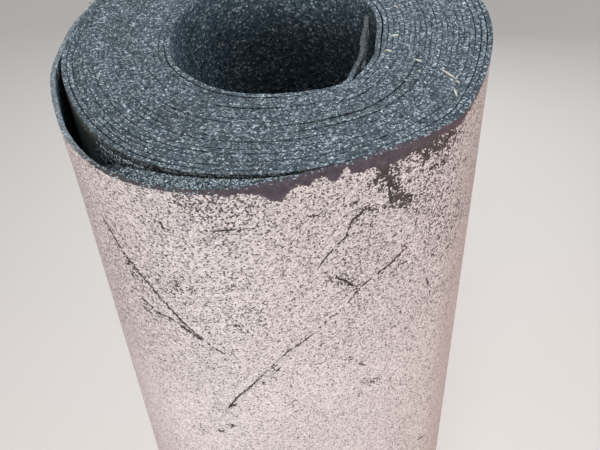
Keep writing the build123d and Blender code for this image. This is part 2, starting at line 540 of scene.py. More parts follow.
class Finish:
    """One material and the nodes in it."""

    def __init__(self, name):
        self.material = bpy.data.materials.new(name)
        self.material.use_nodes = True
        self.tree = self.material.node_tree
        self.shader = self.tree.nodes["Principled BSDF"]
        self.place = self.node("ShaderNodeTexCoord").outputs["Object"]

    def node(self, kind, inputs=None, **settings):
        node = self.tree.nodes.new(kind)
        for name, value in settings.items():
            setattr(node, name, value)
        for name, value in (inputs or {}).items():
            self.feed(node.inputs[name], value)
        return node

    def feed(self, socket, value):
        """Links a socket to a node's output, or sets it to a constant."""
        if isinstance(value, bpy.types.NodeSocket):
            self.tree.links.new(value, socket)
        else:
            socket.default_value = value

    def math(self, operation, first, second=0.0):
        return self.node("ShaderNodeMath", {0: first, 1: second}, operation=operation).outputs[0]

    def add(self, total, *others):
        for other in others:
            total = self.math("ADD", total, other)
        return total

    def subtract(self, first, second):
        return self.math("SUBTRACT", first, second)

    def multiply(self, first, second):
        return self.math("MULTIPLY", first, second)

    def fade(self, value, start, end, at_start=0.0, at_end=1.0):
        """A smooth change from one number to another as a value passes between two marks."""
        inputs = {
            "Value": value, "From Min": start, "From Max": end, "To Min": at_start, "To Max": at_end
        }
        node = self.node("ShaderNodeMapRange", inputs, interpolation_type="SMOOTHSTEP")
        return node.outputs["Result"]

    def coordinate(self, axis):
        return self.node("ShaderNodeSeparateXYZ", {"Vector": self.place}).outputs[axis]

    def attribute(self, name):
        return self.node("ShaderNodeAttribute", attribute_name=name).outputs["Fac"]

    def noise(self, size, detail=2.0):
        """Noise from 0 to 1 with features of about a size, in metres."""
        inputs = {"Vector": self.place, "Scale": 1 / size, "Detail": detail}
        return self.node("ShaderNodeTexNoise", inputs).outputs["Fac"]

    def grains(self, size):
        """Grains of a size: how far from a grain's middle, and three random numbers for it."""
        inputs = {"Vector": self.place, "Scale": 1 / size}
        grain = self.node("ShaderNodeTexVoronoi", inputs, feature="F1")
        split = self.node("ShaderNodeSeparateColor", {"Color": grain.outputs["Color"]})
        return grain.outputs["Distance"], *split.outputs

    def dome(self, distance, height=1.0):
        """The round of a grain, from its height in the middle down to nothing at its rim."""
        return self.fade(distance, 0.1, 0.8, height, 0.0)

    def ramp(self, value, stops):
        """A colour for a number, by (number, colour) stops from 0 to 1."""
        node = self.node("ShaderNodeValToRGB", {"Fac": value})
        elements = node.color_ramp.elements
        while len(elements) < len(stops):
            elements.new(1.0)
        for element, (position, colour) in zip(elements, stops):
            element.position, element.color = position, (*colour, 1.0)
        return node.outputs["Color"]

    def mix(self, share, first, second):
        """The first colour where the share is 0, and the second where it is 1."""
        node = self.node("ShaderNodeMix", data_type="RGBA")
        sockets = {socket.identifier: socket for socket in (*node.inputs, *node.outputs)}
        for name, value in (("Factor_Float", share), ("A_Color", first), ("B_Color", second)):
            self.feed(sockets[name], (*value, 1.0) if isinstance(value, tuple) else value)
        return sockets["Result_Color"]

    def scale_colour(self, colour, factor):
        node = self.node("ShaderNodeVectorMath", {0: colour, "Scale": factor}, operation="SCALE")
        return node.outputs["Vector"]

    def mottle(self, colour, size, darkest, lightest, detail=2.0, spread=(0.3, 0.7)):
        """Darkens and lightens a colour in patches of about a size."""
        noise = self.noise(size, detail)
        return self.scale_colour(colour, self.fade(noise, *spread, darkest, lightest))

    def bump(self, height, depth, strength=1.0):
        inputs = {"Height": height, "Distance": depth, "Strength": strength}
        normal = self.node("ShaderNodeBump", inputs).outputs["Normal"]
        self.feed(self.shader.inputs["Normal"], normal)

    def done(self, colour, roughness, specular=0.3):
        self.feed(self.shader.inputs["Base Color"], colour)
        self.feed(self.shader.inputs["Roughness"], roughness)
        self.shader.inputs["Specular IOR Level"].default_value = specular
        return self.material


def tone(red, green, blue):
    """A colour from its display values, 0 to 255, as the linear numbers that a shader takes."""
    return tuple(((c / 255 + 0.055) / 1.055) ** 2.4 for c in (red, green, blue))


def shade(colour, factor):
    return tuple(min(1.0, c * factor) for c in colour)


class FeltFinish(bpy.types.PropertyGroup):
    """Colours of the felt"""

    granule_pale: colour_property(
        "Pale granule", "Colour of most mineral granules", tone(209, 200, 199)
    )
    granule_grey: colour_property(
        "Grey granule", "Colour of the darker mineral granules", tone(173, 164, 164)
    )
    bitumen: colour_property(
        "Bitumen", "Colour of bitumen between granules and in cracks", tone(64, 58, 60)
    )
    bare_strip: colour_property(
        "Bare strip", "Colour of the strip that carries no granules", tone(66, 57, 65)
    )
    cut_end: colour_property(
        "Cut end", "Colour of the sheet where it was cut", tone(74, 86, 95)
    )
    cut_end_grain: colour_property(
        "Cut end grain", "Colour of the grains in the cut end", tone(168, 178, 184)
    )
    sanded: colour_property(
        "Sanded face", "Colour of the inner face, which is dusted with sand", tone(68, 84, 95)
    )
    wood: colour_property("Splinter", "Colour of the wood splinters", tone(196, 192, 178))


def cracked(f):
    """Where the mineral face is cracked, and the share of granules lost beside the cracks."""
    wander = f.subtract(f.noise(1.6 * MM), 0.5)
    gaps = f.fade(f.noise(5 * MM), 0.32, 0.68)
    crack, crumbled = 0.0, 0.0
    for name in CRACK_KINDS:
        offset = f.add(f.attribute(f"{name}_offset"), f.multiply(wander, 2.2))
        offset, strength = f.math("ABSOLUTE", offset), f.attribute(f"{name}_strength")
        unbroken = f.fade(f.subtract(strength, gaps), -0.1, 0.15)
        line = f.multiply(f.fade(offset, 0.7, 1.3, 1.0, 0.0), unbroken)
        crack = f.math("MAXIMUM", crack, line)
        beside_it = f.multiply(f.fade(offset, 1.0, 3.5, 0.22, 0.0), strength)
        crumbled = f.math("MAXIMUM", crumbled, beside_it)
    return crack, crumbled


def mineral_face(colours):
    """Granules pressed into bitumen, with cracks, rubbed places and a bare strip."""
    f = Finish("mineral_face")
    pale, grey = tuple(colours.granule_pale), tuple(colours.granule_grey)
    bitumen, strip = tuple(colours.bitumen), tuple(colours.bare_strip)
    distance, kind, hold, height = f.grains(0.74 * MM)
    crack, crumbled = cracked(f)

    ragged = f.add(f.multiply(f.noise(4 * MM), 4.0), f.multiply(f.noise(1.1 * MM), 3.5))
    into_strip = f.add(f.attribute("bare_depth"), f.subtract(ragged, 3.75))
    bare = f.fade(into_strip, -0.5, 0.7)

    # More granules are missing, and more are dark, near the upper end
    up, rub = f.coordinate("Z"), f.attribute("rub")
    handled = (TOP - 160 * MM, TOP - 60 * MM)
    kind = f.add(kind, f.fade(up, *handled, 0.12, 0.0))
    scattered = f.fade(f.noise(28 * MM, 4.0), 0.3, 0.75, 0.045, 0.15)
    lost = f.add(
        f.multiply(scattered, f.fade(up, *handled, 0.3, 1.0)),
        f.multiply(rub, f.fade(f.noise(3 * MM), 0.3, 0.7, 0.6, 1.4)),
        crumbled,
        f.multiply(bare, 0.93),
        f.fade(into_strip, -5.0, 0.0, 0.0, 0.16),
    )
    covered = f.fade(f.subtract(hold, lost), -0.02, 0.02)

    granule = f.ramp(kind, [
        (0.0, shade(grey, 0.5)), (0.12, shade(grey, 0.65)), (0.24, grey),
        (0.45, shade(pale, 0.88)), (0.75, pale), (1.0, shade(pale, 1.17)),
    ])
    # Painted light and shade: each granule is lighter at its middle and darker at its rim, where the
    # granules meet
    granule = f.scale_colour(granule, f.fade(distance, 0.35, 0.85, 1.04, 0.77))
    worn = f.fade(rub, 0.1, 0.45)
    exposed = f.mix(bare, f.mix(worn, shade(bitumen, 1.4), shade(bitumen, 0.75)), strip)
    exposed = f.mottle(exposed, 1.2 * MM, 0.8, 1.2)
    exposed = f.mottle(exposed, 5 * MM, 0.72, 1.3, 3.0)
    colour = f.mix(crack, f.mix(covered, exposed, granule), shade(bitumen, 0.5))
    colour = f.mottle(colour, 60 * MM, 0.93, 1.05, 3.0, WIDE_SPREAD)

    relief = f.multiply(f.multiply(f.dome(distance), f.fade(height, 0.0, 1.0, 0.5, 1.0)), covered)
    f.bump(f.subtract(relief, f.multiply(crack, 1.2)), 0.5 * MM, 0.9)
    return f.done(colour, f.fade(covered, 0.0, 1.0, 0.6, 0.92))


def cut_end(colours):
    """The edge of the sheet, where the knife tore sand and granules out of the bitumen."""
    f = Finish("cut_end")
    dark, pale = tuple(colours.cut_end), tuple(colours.cut_end_grain)
    distance, kind, hold, height = f.grains(0.75 * MM)
    colour = f.ramp(kind, [
        (0.0, shade(dark, 0.3)), (0.25, shade(dark, 0.7)), (0.55, shade(dark, 1.15)),
        (0.8, shade(pale, 0.48)), (0.93, shade(pale, 0.8)), (1.0, shade(pale, 1.15)),
    ])
    colour = f.mottle(colour, 0.4 * MM, 0.75, 1.25)
    # Painted light and shade: each grain is lighter at its middle and darker at its rim, where the
    # grains meet
    colour = f.scale_colour(colour, f.fade(distance, 0.3, 0.85, 1.1, 0.6))
    colour = f.mottle(colour, 14 * MM, 0.85, 1.15, 3.0, WIDE_SPREAD)

    # Painted shade: in patches, the borders of each cut edge are darkened, as shade in the joints
    # between turns
    border, open_joint = f.attribute("rim_border"), f.fade(f.noise(9 * MM), 0.35, 0.65, 0.0, 0.4)
    painted_joint_shade = f.multiply(f.fade(border, 0.1, 1.0), open_joint)
    colour = f.scale_colour(colour, f.subtract(1.04, painted_joint_shade))
    # Painted shade: the flap's cut end is painted dark, as in shadow, and lighter along the middle
    # of the edge
    flap = f.fade(f.attribute("turn"), -0.03, 0.0, 0.75, 0.0)
    colour = f.mix(flap, colour, f.scale_colour(pale, f.fade(border, 0.0, 0.6, 0.125, 0.02)))
    f.bump(f.multiply(f.dome(distance), f.fade(height, 0.0, 1.0, 0.2, 1.0)), 0.5 * MM)
    return f.done(colour, f.fade(hold, 0.0, 1.0, 0.6, 0.9))


def pressed_end(colours):
    """The outermost turn's cut edge, pressed smooth: few grains show in it."""
    f = Finish("pressed_end")
    dark, pale = tuple(colours.cut_end), tuple(colours.cut_end_grain)
    bitumen, strip = tuple(colours.bitumen), tuple(colours.bare_strip)
    distance, kind, _, _ = f.grains(0.8 * MM)
    across = f.coordinate("X")
    base = f.mix(f.fade(across, -87 * MM, -72 * MM), shade(pale, 0.36), shade(bitumen, 1.15))
    base = f.mix(f.fade(across, -40 * MM, -15 * MM), base, strip)
    # Painted shade: towards +X the edge is darkened, as in a shadow falling on that side of the
    # upper end
    base = f.mix(f.fade(across, 45 * MM, 70 * MM), base, shade(dark, 0.5))
    grainy_left = f.fade(across, -85 * MM, -45 * MM, 0.14, 0.0)
    grainy_right = f.fade(across, 30 * MM, 65 * MM, 0.0, 0.1)
    grainy = f.add(kind, grainy_left, grainy_right)
    colour = f.mix(f.fade(grainy, 0.82, 0.9, 0.0, 0.7), base, shade(pale, 0.85))
    colour = f.mottle(colour, 1.1 * MM, 0.6, 1.35, 3.0)
    f.bump(f.add(f.noise(1.2 * MM), f.dome(distance, 0.4)), 0.3 * MM, 0.8)
    return f.done(colour, 0.75)


def sanded_face(colours):
    """The inner face of the sheet: bitumen dusted with sand."""
    f = Finish("sanded_face")
    dark, pale = tuple(colours.sanded), tuple(colours.cut_end_grain)
    distance, kind, hold, _ = f.grains(1.0 * MM)
    colour = f.ramp(kind, [
        (0.0, shade(dark, 0.35)), (0.4, shade(dark, 0.95)), (0.75, shade(dark, 1.5)),
        (0.9, shade(pale, 0.6)), (1.0, shade(pale, 1.25)),
    ])
    # Painted light and shade: each grain is lighter at its middle and darker at its rim, where the
    # grains meet
    colour = f.scale_colour(colour, f.fade(distance, 0.3, 0.85, 1.1, 0.6))
    colour = f.mottle(colour, 15 * MM, 0.85, 1.15, 3.0, WIDE_SPREAD)
    f.bump(f.dome(distance), 0.35 * MM, 0.8)
    return f.done(colour, f.fade(hold, 0.0, 1.0, 0.65, 0.9))


def sheltered_face(colours):
    """The mineral face of the turns that the outer one covers, and the grains that fell on it,
    painted lighter for light in the slack.
    """
    f = Finish("sheltered_face")
    bitumen, dark, pale = colours.bitumen, tuple(colours.cut_end), tuple(colours.cut_end_grain)
    distance, kind, hold, _ = f.grains(0.9 * MM)

    # At the left of the slack the face is smooth: few granules lie on it
    ragged_across = f.add(f.coordinate("X"), f.multiply(f.noise(6 * MM), 12 * MM))
    smooth = f.fade(ragged_across, -76 * MM, -64 * MM, 0.75, 0.0)
    lost = f.add(f.fade(f.noise(7 * MM, 3.0), 0.3, 0.7, 0.3, 0.65), smooth)
    covered = f.fade(f.subtract(hold, lost), -0.02, 0.02)
    # Painted light: the granules are painted about twice as light as on the open face, standing in
    # for light that reaches down into the slack
    granule = f.ramp(kind, [
        (0.0, shade(dark, 2.0)), (0.5, shade(pale, 1.7)), (1.0, shade(pale, 2.2)),
    ])
    up = f.coordinate("Z")
    tinge = (1.15, 1.25, 0.95)
    olive = tuple((0.6 * b + 0.4 * d) * t for b, d, t in zip(bitumen, dark, tinge))
    # Painted light: the clean face is painted lighter further down in the slack, and darker near the
    # rim
    clean_with_painted_light = f.mix(f.fade(up, TOP - 26 * MM, TOP - 3 * MM), shade(olive, 4.5), shade(olive, 0.8))
    bare = f.mix(f.fade(smooth, 0.0, 0.5), shade(dark, 0.5), clean_with_painted_light)
    colour = f.mix(covered, bare, granule)

    # The top few millimetres under the rim are darkened, for the bare strip there and painted shade
    # under the rim; elsewhere the face is painted 1.15 times lighter
    ragged_up = f.add(up, f.multiply(f.noise(2.5 * MM), 2.4 * MM))
    at_rim = f.fade(ragged_up, TOP - 3.8 * MM, TOP - 2.8 * MM)
    rim_strip_and_shade = f.multiply(at_rim, f.fade(smooth, 0.0, 0.4, 1.0, 0.0))
    colour = f.scale_colour(colour, f.subtract(1.15, rim_strip_and_shade))
    # Painted light and shade: each granule is lighter at its middle and darker at its rim, where the
    # granules meet
    colour = f.scale_colour(colour, f.fade(distance, 0.35, 0.85, 1.05, 0.6))
    f.bump(f.multiply(f.dome(distance), covered), 0.5 * MM, 0.9)
    return f.done(colour, 0.8)


def loose_granule(colours):
    """Granules that have come off, each with a tone of its own."""
    f = Finish("loose_granule")
    dark, pale = tuple(colours.cut_end), tuple(colours.cut_end_grain)
    colour = f.ramp(f.attribute("grain_tone"), [
        (0.0, shade(dark, 0.22)), (0.3, shade(dark, 0.7)), (0.55, shade(pale, 0.45)),
        (0.8, shade(pale, 0.95)), (1.0, shade(pale, 1.5)),
    ])
    colour = f.mottle(colour, 0.5 * MM, 0.7, 1.3)
    f.bump(f.noise(0.35 * MM), 0.2 * MM, 0.7)
    return f.done(colour, 0.85)


def splinter_wood(colours):
    """Pale torn wood."""
    f = Finish("splinter_wood")
    wood = tuple(colours.wood)
    colour = f.mottle(f.mix(f.noise(0.4 * MM), wood, shade(wood, 0.8)), 1.5 * MM, 0.85, 1.1)
    f.bump(f.noise(0.3 * MM), 0.1 * MM, 0.6)
    return f.done(colour, 0.7)


def cut_sheet(piece, gauge, materials, seed):
    """Gives the wound surface the felt's thickness, inwards, and a rough cut edge."""
    mesh = piece.data
    for material in materials:
        mesh.materials.append(material)
    face_towards(mesh, read_faces(mesh, "center") * (1, 1, 0))
    thicken(piece, gauge, use_even_offset=True, material_offset=1, material_offset_rim=2)
    select_only("FACE", mesh.polygons, np.abs(read_faces(mesh, "normal")[:, 2]) > 0.7)
    with edit_mode():
        bpy.ops.mesh.inset(thickness=CORNER_INSET, depth=CORNER_RISE, use_even_offset=True)
    roughen_rims(mesh, seed)
    bpy.ops.object.shade_smooth_by_angle(angle=SMOOTH_UP_TO)


def roughen_rims(mesh, seed):
    """Moves the points of the cut edges a little, as torn bitumen and grains stand, and marks
    those on the borders of the edges.
    """
    level = np.abs(read_faces(mesh, "normal")[:, 2]) > 0.4
    totals = np.empty(len(mesh.polygons), dtype=int)
    mesh.polygons.foreach_get("loop_total", totals)
    corners, on_rim = read_corners(mesh), np.repeat(level, totals)
    chosen = np.unique(corners[on_rim])
    border = np.zeros(len(mesh.vertices))
    border[np.intersect1d(chosen, corners[~on_rim])] = 1.0
    write_value(mesh, "rim_border", border)
    points = read_points(mesh)
    rng = np.random.default_rng(seed)
    points[chosen, 2] += rng.uniform(-RIM_ROUGHNESS, RIM_ROUGHNESS, len(chosen))
    outwards = direction(bearing(points[chosen]))
    shift = rng.uniform(-RIM_ROUGHNESS, RIM_ROUGHNESS, (len(chosen), 1))
    points[chosen, :2] += outwards * shift * 0.3
    write_points(mesh, points)


def along_sheet(winding, turn):
    """How far along the sheet from its crease a count of turns is."""
    return tau * turn * (winding.bore_radius + winding.pitch * (1 + turn / 2))


def felt_map(winding, mesh):
    """A UV map in metres: along the sheet, and up it."""
    layer = mesh.uv_layers.new(name="unrolled")
    along = along_sheet(winding, read_value(mesh, "turn"))
    flat = np.stack([along, read_points(mesh)[:, 2]], axis=-1)
    layer.data.foreach_set("uv", flat[read_corners(mesh)].astype(np.float32).ravel())


def near_upper_end(winding, height):
    """From 0 well below the roll's upper end to 1 at it."""
    return np.clip(1 - (winding.width - height) / UPPER_EDGE_REACH, 0, 1)


def lay(winding, plan, turn, height, seed):
    """Moves plan points of the true spiral to where the real turns lie."""
    angle, share = bearing(plan), np.clip(turn / winding.turns, 0, 1)
    push = smooth_through(OUTER_ROUND, angle) * share
    push += smooth_through(BORE_ROUND, angle) * (1 - share)
    flare = smooth_through(LIP_FLARE, angle) * near_upper_end(winding, height) ** 2
    push += (smooth_through(SLACK, angle) + flare) * (turn > winding.turns - SLACK_TURNS)
    outside = np.clip(turn - (winding.turns - OUTER_LOOSE_TURNS), 0, None)
    inside = np.clip(INNER_LOOSE_TURNS - turn, 0, INNER_LOOSE_TURNS)
    push += OUTER_LOOSENESS * outside - INNER_LOOSENESS * inside
    wander = ripple(along_sheet(winding, turn), WANDER_LENGTH, seed)
    push += WANDER * wander * np.clip(outside + inside, 0.2, 1) * (turn > 0)
    push += FLAP_STANDS_OFF * ease(np.clip(-turn / FLAP_LIFT_TURNS, 0, 1))
    return (plan + direction(angle) * push[:, None]) * DRAWN_IN


def shape_sheet(winding, mesh, seed):
    """Lays the true spiral out as the real turns lie, and lets their edges wander."""
    points, turn = read_points(mesh), read_value(mesh, "turn")
    angle, height = bearing(points), points[:, 2].copy()
    along = along_sheet(winding, turn)
    points[:, :2] = lay(winding, points[:, :2], turn, height, seed)

    lowered = UPPER_EDGE_IN + EDGE_WANDER * ripple(along, 55 * MM, seed + 1)
    lowered += EDGE_WANDER * ripple(turn, 0.7, seed + 2)
    outermost = np.clip((turn - (winding.turns - 1.0)) * 12, 0, 1)
    lowered += smooth_through(LIP_DIP, angle) * outermost
    raised = LOWER_EDGE_IN + EDGE_WANDER * ripple(along, 50 * MM, seed + 3)
    near_foot = np.clip(1 - height / LOWER_EDGE_REACH, 0, 1)
    points[:, 2] += raised * near_foot - lowered * near_upper_end(winding, height)
    write_points(mesh, points)


def paint_face(winding, mesh):
    """Writes the cracks, rubbed places and bare strip on the sheet's points."""
    points, turn = read_points(mesh), read_value(mesh, "turn")
    angle = bearing(points)
    across, below = angle * FACE_RADIUS / MM, (winding.width - points[:, 2]) / MM
    outermost = turn > winding.turns - 1.0
    for name, routes in CRACK_KINDS.items():
        offset, strength = np.full(len(turn), NO_CRACK_NEAR), np.zeros(len(turn))
        nearest = np.full(len(turn), np.inf)
        for half_width, unbroken, route in routes:
            side, distance, share = beside(route, across, below)
            widths_off = distance / half_width
            near = (widths_off < nearest) & (distance < 8 * half_width + 3)
            nearest[near] = widths_off[near]
            offset[near] = (side * widths_off)[near]
            tapered = np.clip(np.minimum(share, 1 - share) * 8 + 0.4, 0, 1)
            strength[near] = (unbroken * tapered)[near]
        write_value(mesh, f"{name}_offset", offset)
        write_value(mesh, f"{name}_strength", strength * outermost)
    rub = np.zeros(len(turn))
    for half_width, amount, route in RUBS:
        _, distance, _ = beside(route, across, below)
        rub = np.maximum(rub, amount * np.clip(1.5 - distance / half_width, 0, 1))
    write_value(mesh, "rub", rub * outermost)
    write_value(mesh, "bare_depth", smooth_through(BARE_STRIP, angle) / MM - below)


def beside(route, across, below):
    """Which side of a route each point is on, how far off, and how far along the route."""
    stops = [(radians(angle) * FACE_RADIUS / MM, depth) for angle, depth in route]
    legs = [np.hypot(b[0] - a[0], b[1] - a[1]) for a, b in zip(stops, stops[1:])]
    whole, done = sum(legs), 0.0
    best = np.full(len(across), np.inf)
    side, share = np.ones(len(across)), np.zeros(len(across))
    for (ax, ay), (bx, by), leg in zip(stops, stops[1:], legs):
        ux, uy = (bx - ax) / leg, (by - ay) / leg
        t = np.clip((across - ax) * ux + (below - ay) * uy, 0, leg)
        dx, dy = across - ax - t * ux, below - ay - t * uy
        distance = np.hypot(dx, dy)
        closer = distance < best
        best[closer] = distance[closer]
        side[closer] = np.sign(ux * dy - uy * dx)[closer]
        share[closer] = ((done + t) / whole)[closer]
        done += leg
    return side, best, share


class FELT_OT_wind_inner_turns(bpy.types.Operator):
    """Winds the felt from its creased inner end to the turn under the outermost one"""

    bl_idname = "felt.wind_inner_turns"
    bl_label = "Wind inner turns"
    step: length_property(
        "Step", "From one point of the sheet to the next", 1.5 * MM, min=LEAST_STEP
    )
    edge_row: length_property(
        "Edge row", "How far from each cut edge a row of points is", 3 * MM, min=LEAST_STEP
    )

    def execute(self, context):
        winding, colours = context.scene.felt_winding, context.scene.felt_finish
        heights = [0.0, self.edge_row, winding.width - self.edge_row, winding.width]
        flap_length = winding.flap_radius * winding.flap_span
        flap_turns = flap_length / (tau * (winding.bore_radius + winding.pitch))
        stretches = [(-flap_turns, 0.0, round(flap_length / self.step))]
        stretches += stretches_between(winding, 0.0, OUTER_TURN_START, self.step)
        piece = wind(winding, "inner_turns", heights, stretches)
        felt_map(winding, piece.data)
        shape_sheet(winding, piece.data, INNER_SEED)
        materials = [sheltered_face(colours), sanded_face(colours), cut_end(colours)]
        cut_sheet(piece, winding.gauge, materials, INNER_RIM_SEED)
        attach(piece, "root")
        return {"FINISHED"}


class FELT_OT_hang_outer_turn(bpy.types.Operator):
    """Winds the outermost turn, with its slack, cracks, rubbed places and bare strip"""

    bl_idname = "felt.hang_outer_turn"
    bl_label = "Hang outer turn"
    step: length_property(
        "Step", "From one point to the next at the front", 1.8 * MM, min=LEAST_STEP
    )
    far_step: length_property(
        "Far step", "From one point to the next at the back", 6.0 * MM, min=LEAST_STEP
    )

    def execute(self, context):
        winding, colours = context.scene.felt_winding, context.scene.felt_finish
        whole = floor(winding.turns)
        front_start = whole - 1 + turn_share(winding, radians(FRONT[0]))
        front_end = whole + turn_share(winding, radians(FRONT[1]))
        stretches = stretches_between(winding, OUTER_TURN_START, front_start, self.far_step)
        stretches += stretches_between(winding, front_start, front_end, self.step)
        stretches += stretches_between(winding, front_end, winding.turns, self.far_step)
        piece = wind(winding, "outer_turn", face_rows(winding), stretches)
        felt_map(winding, piece.data)
        shape_sheet(winding, piece.data, OUTER_SEED)
        paint_face(winding, piece.data)
        dent(piece.data)
        materials = [mineral_face(colours), bpy.data.materials["sanded_face"], pressed_end(colours)]
        cut_sheet(piece, winding.gauge, materials, OUTER_RIM_SEED)
        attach(piece, "root")
        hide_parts("felt_roll")
        return {"FINISHED"}


def face_rows(winding):
    """Heights of the rows of points on the outer turn: close together near the upper end."""
    close, middle = np.arange(0, 12, 1.0), np.arange(12, 211, 1.9)
    below = np.concatenate([close, middle, np.linspace(212, winding.width / MM, 58)])
    return winding.width - below[::-1] * MM


def dent(mesh):
    """Presses the cracks into the sheet, with a low ridge beside each."""
    points = read_points(mesh)
    outwards = direction(bearing(points))
    for name in CRACK_KINDS:
        offset, strength = read_value(mesh, f"{name}_offset"), read_value(mesh, f"{name}_strength")
        trough = np.exp(-((offset / 2) ** 2))
        ridge = np.exp(-(((np.abs(offset) - 4.5) / 2) ** 2))
        depth = strength * MM * (TROUGH_DEPTH * trough - RIDGE_HEIGHT * ridge)
        points[:, :2] -= outwards * depth[:, None]
    write_points(mesh, points)


def lodged_line(winding, angle, height):
    """Plan points on the two faces that the slack lies between, the inner one first."""
    last = floor(winding.turns) + turn_share(winding, angle)
    lines = []
    for turn, depth, seed in ((last - 1, 0.0, INNER_SEED), (last, winding.gauge, OUTER_SEED)):
        halves = [half_turn(winding, floor(2 * t)) for t in turn]
        centres = np.array([centre for centre, _ in halves])
        radii = np.array([radius - depth for _, radius in halves])
        plan = centres + direction(angle) * radii[:, None]
        lines.append(lay(winding, plan, turn, height, seed))
    return lines


def lodged_depth(angle):
    """How far below the roll's upper end the lodged granules lie at plan angles."""
    return np.interp(np.degrees(angle), *zip(*LODGED)) * MM


def beside_inner_face(across):
    """How much deeper they lie close to the slack's inner face, by share of the way across."""
    return np.interp(across, (0.0, 0.25), (1.1, 0.0)) * MM


def bed_of_granules(winding, rng):
    """The bed that the lodged granules make, closed, from one face of the slack to the other."""
    bpy.ops.mesh.primitive_grid_add(x_subdivisions=90, y_subdivisions=10, size=2.0)
    bed = bpy.context.object
    points = read_points(bed.data)
    share, across = (points[:, 0] + 1) / 2, (points[:, 1] + 1) / 2
    start, end = radians(LODGED[0][0]), radians(LODGED[-1][0])
    angle = start + (end - start) * share
    height = winding.width - lodged_depth(angle)
    inner, outer = lodged_line(winding, angle, height)
    into_felt = across * (1 + 2 * BED_OVERLAP) - BED_OVERLAP
    points[:, :2] = inner + (outer - inner) * into_felt[:, None]
    points[:, 2] = height - beside_inner_face(across)
    points[:, 2] += rng.uniform(-0.35, 0.35, len(points)) * MM
    write_points(bed.data, points)
    write_value(bed.data, "grain_tone", rng.uniform(0.0, 0.8, len(points)))
    face_towards(bed.data, (0, 0, 1))
    thicken(bed, BED_DEPTH)
    return bed


def scattered_granules(places, rng):
    """One rough granule, repeated at many places, each turned and sized by chance."""
    bpy.ops.object.select_all(action="DESELECT")
    bpy.ops.mesh.primitive_ico_sphere_add(subdivisions=1, radius=1.0)
    grains = bpy.context.object
    array = grains.modifiers.new("many", "ARRAY")
    array.count, array.use_relative_offset = len(places), False
    bpy.ops.object.modifier_apply(modifier="many")
    corners = read_points(grains.data).reshape(len(places), -1, 3)
    corners *= rng.uniform(0.75, 1.2, corners.shape[:2])[:, :, None]
    corners *= rng.uniform(0.3, 0.5, (len(places), 1, 3)) * MM
    spin, _ = np.linalg.qr(rng.normal(size=(len(places), 3, 3)))
    spin *= np.sign(np.linalg.det(spin))[:, None, None]
    corners = corners @ spin + places[:, None, :]
    write_points(grains.data, corners.reshape(-1, 3))
    tones = np.repeat(rng.uniform(0.15, 1.0, len(places)), corners.shape[1])
    write_value(grains.data, "grain_tone", tones)
    return grains


class FELT_OT_lodge_granules(bpy.types.Operator):
    """Lodges loose granules in the slack and strews some on the upper end"""

    bl_idname = "felt.lodge_granules"
    bl_label = "Lodge granules"
    in_slack: bpy.props.IntProperty(
        name="In slack", description="Granules on the bed in the slack", default=1700, min=1
    )
    on_top: bpy.props.IntProperty(
        name="On top", description="Granules strewn on the upper end", default=170, min=1
    )

    def execute(self, context):
        winding, colours = context.scene.felt_winding, context.scene.felt_finish
        rng = np.random.default_rng(GRANULE_SEED)
        bpy.ops.object.select_all(action="DESELECT")
        bed = bed_of_granules(winding, rng)

        angle = np.radians(rng.uniform(LODGED[0][0], LODGED[-1][0], self.in_slack))
        depth = lodged_depth(angle)
        inner, outer = lodged_line(winding, angle, winding.width - depth)
        across = rng.uniform(0.04, 0.96, (self.in_slack, 1))
        plan = inner + (outer - inner) * across
        depth += beside_inner_face(across[:, 0])
        lodged = np.column_stack([plan, winding.width - depth + LODGED_PROUD])

        angle = rng.uniform(-pi, pi, self.on_top)
        plan = direction(angle) * rng.uniform(*STREWN_BETWEEN, (self.on_top, 1)) * MM
        strewn = np.column_stack([plan, np.full(self.on_top, winding.width - STREWN_BELOW)])
        grains = scattered_granules(np.concatenate([lodged, strewn]), rng)

        piece = join([bed, grains], "loose_granules")
        merge_points()
        piece.data.materials.append(loose_granule(colours))
        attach(piece, "root")
        return {"FINISHED"}


def lay_splinter(height, ends, width, seed):
    """A thin bar from one place on the upper end to another, tapered and torn by chance."""
    first, last = (
        Vector((*(direction(radians(angle)) * radius * MM * DRAWN_IN), height))
        for radius, angle in ends
    )
    along = last - first
    turned = along.to_2d().angle_signed(Vector((1, 0)))
    bpy.ops.object.select_all(action="DESELECT")
    bpy.ops.mesh.primitive_cube_add(
        size=1.0, location=(first + last) / 2, rotation=(0, 0, turned)
    )
    splinter = bpy.context.object
    splinter.scale = (along.length, width, width * 0.6)
    bpy.ops.object.transform_apply(location=False, rotation=False, scale=True)
    with edit_mode("SELECT"):
        bpy.ops.mesh.subdivide(number_cuts=4)
    points = read_points(splinter.data)
    taper = 1 - 0.75 * (np.abs(points[:, 0]) / (along.length / 2)) ** 2
    points[:, 1:] *= taper[:, None]
    rng = np.random.default_rng(seed)
    points[:, 1:] += rng.uniform(-1, 1, (len(points), 2)) * width * 0.08
    points[:, 2] += (points[:, 0] / along.length) * SPLINTER_TILT
    write_points(splinter.data, points)
    apply_place()
    return splinter


class FELT_OT_drop_splinters(bpy.types.Operator):
    """Drops the wood splinters on the upper end"""

    bl_idname = "felt.drop_splinters"
    bl_label = "Drop splinters"

    def execute(self, context):
        winding, colours = context.scene.felt_winding, context.scene.felt_finish
        height = winding.width - SPLINTERS_BELOW
        made = []
        for number, (start, end, width) in enumerate(SPLINTERS):
            made.append(lay_splinter(height, (start, end), width * MM, SPLINTER_SEED + number))
        piece = join(made, "wood_splinters")
        piece.data.materials.append(splinter_wood(colours))
        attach(piece, "root")
        return {"FINISHED"}


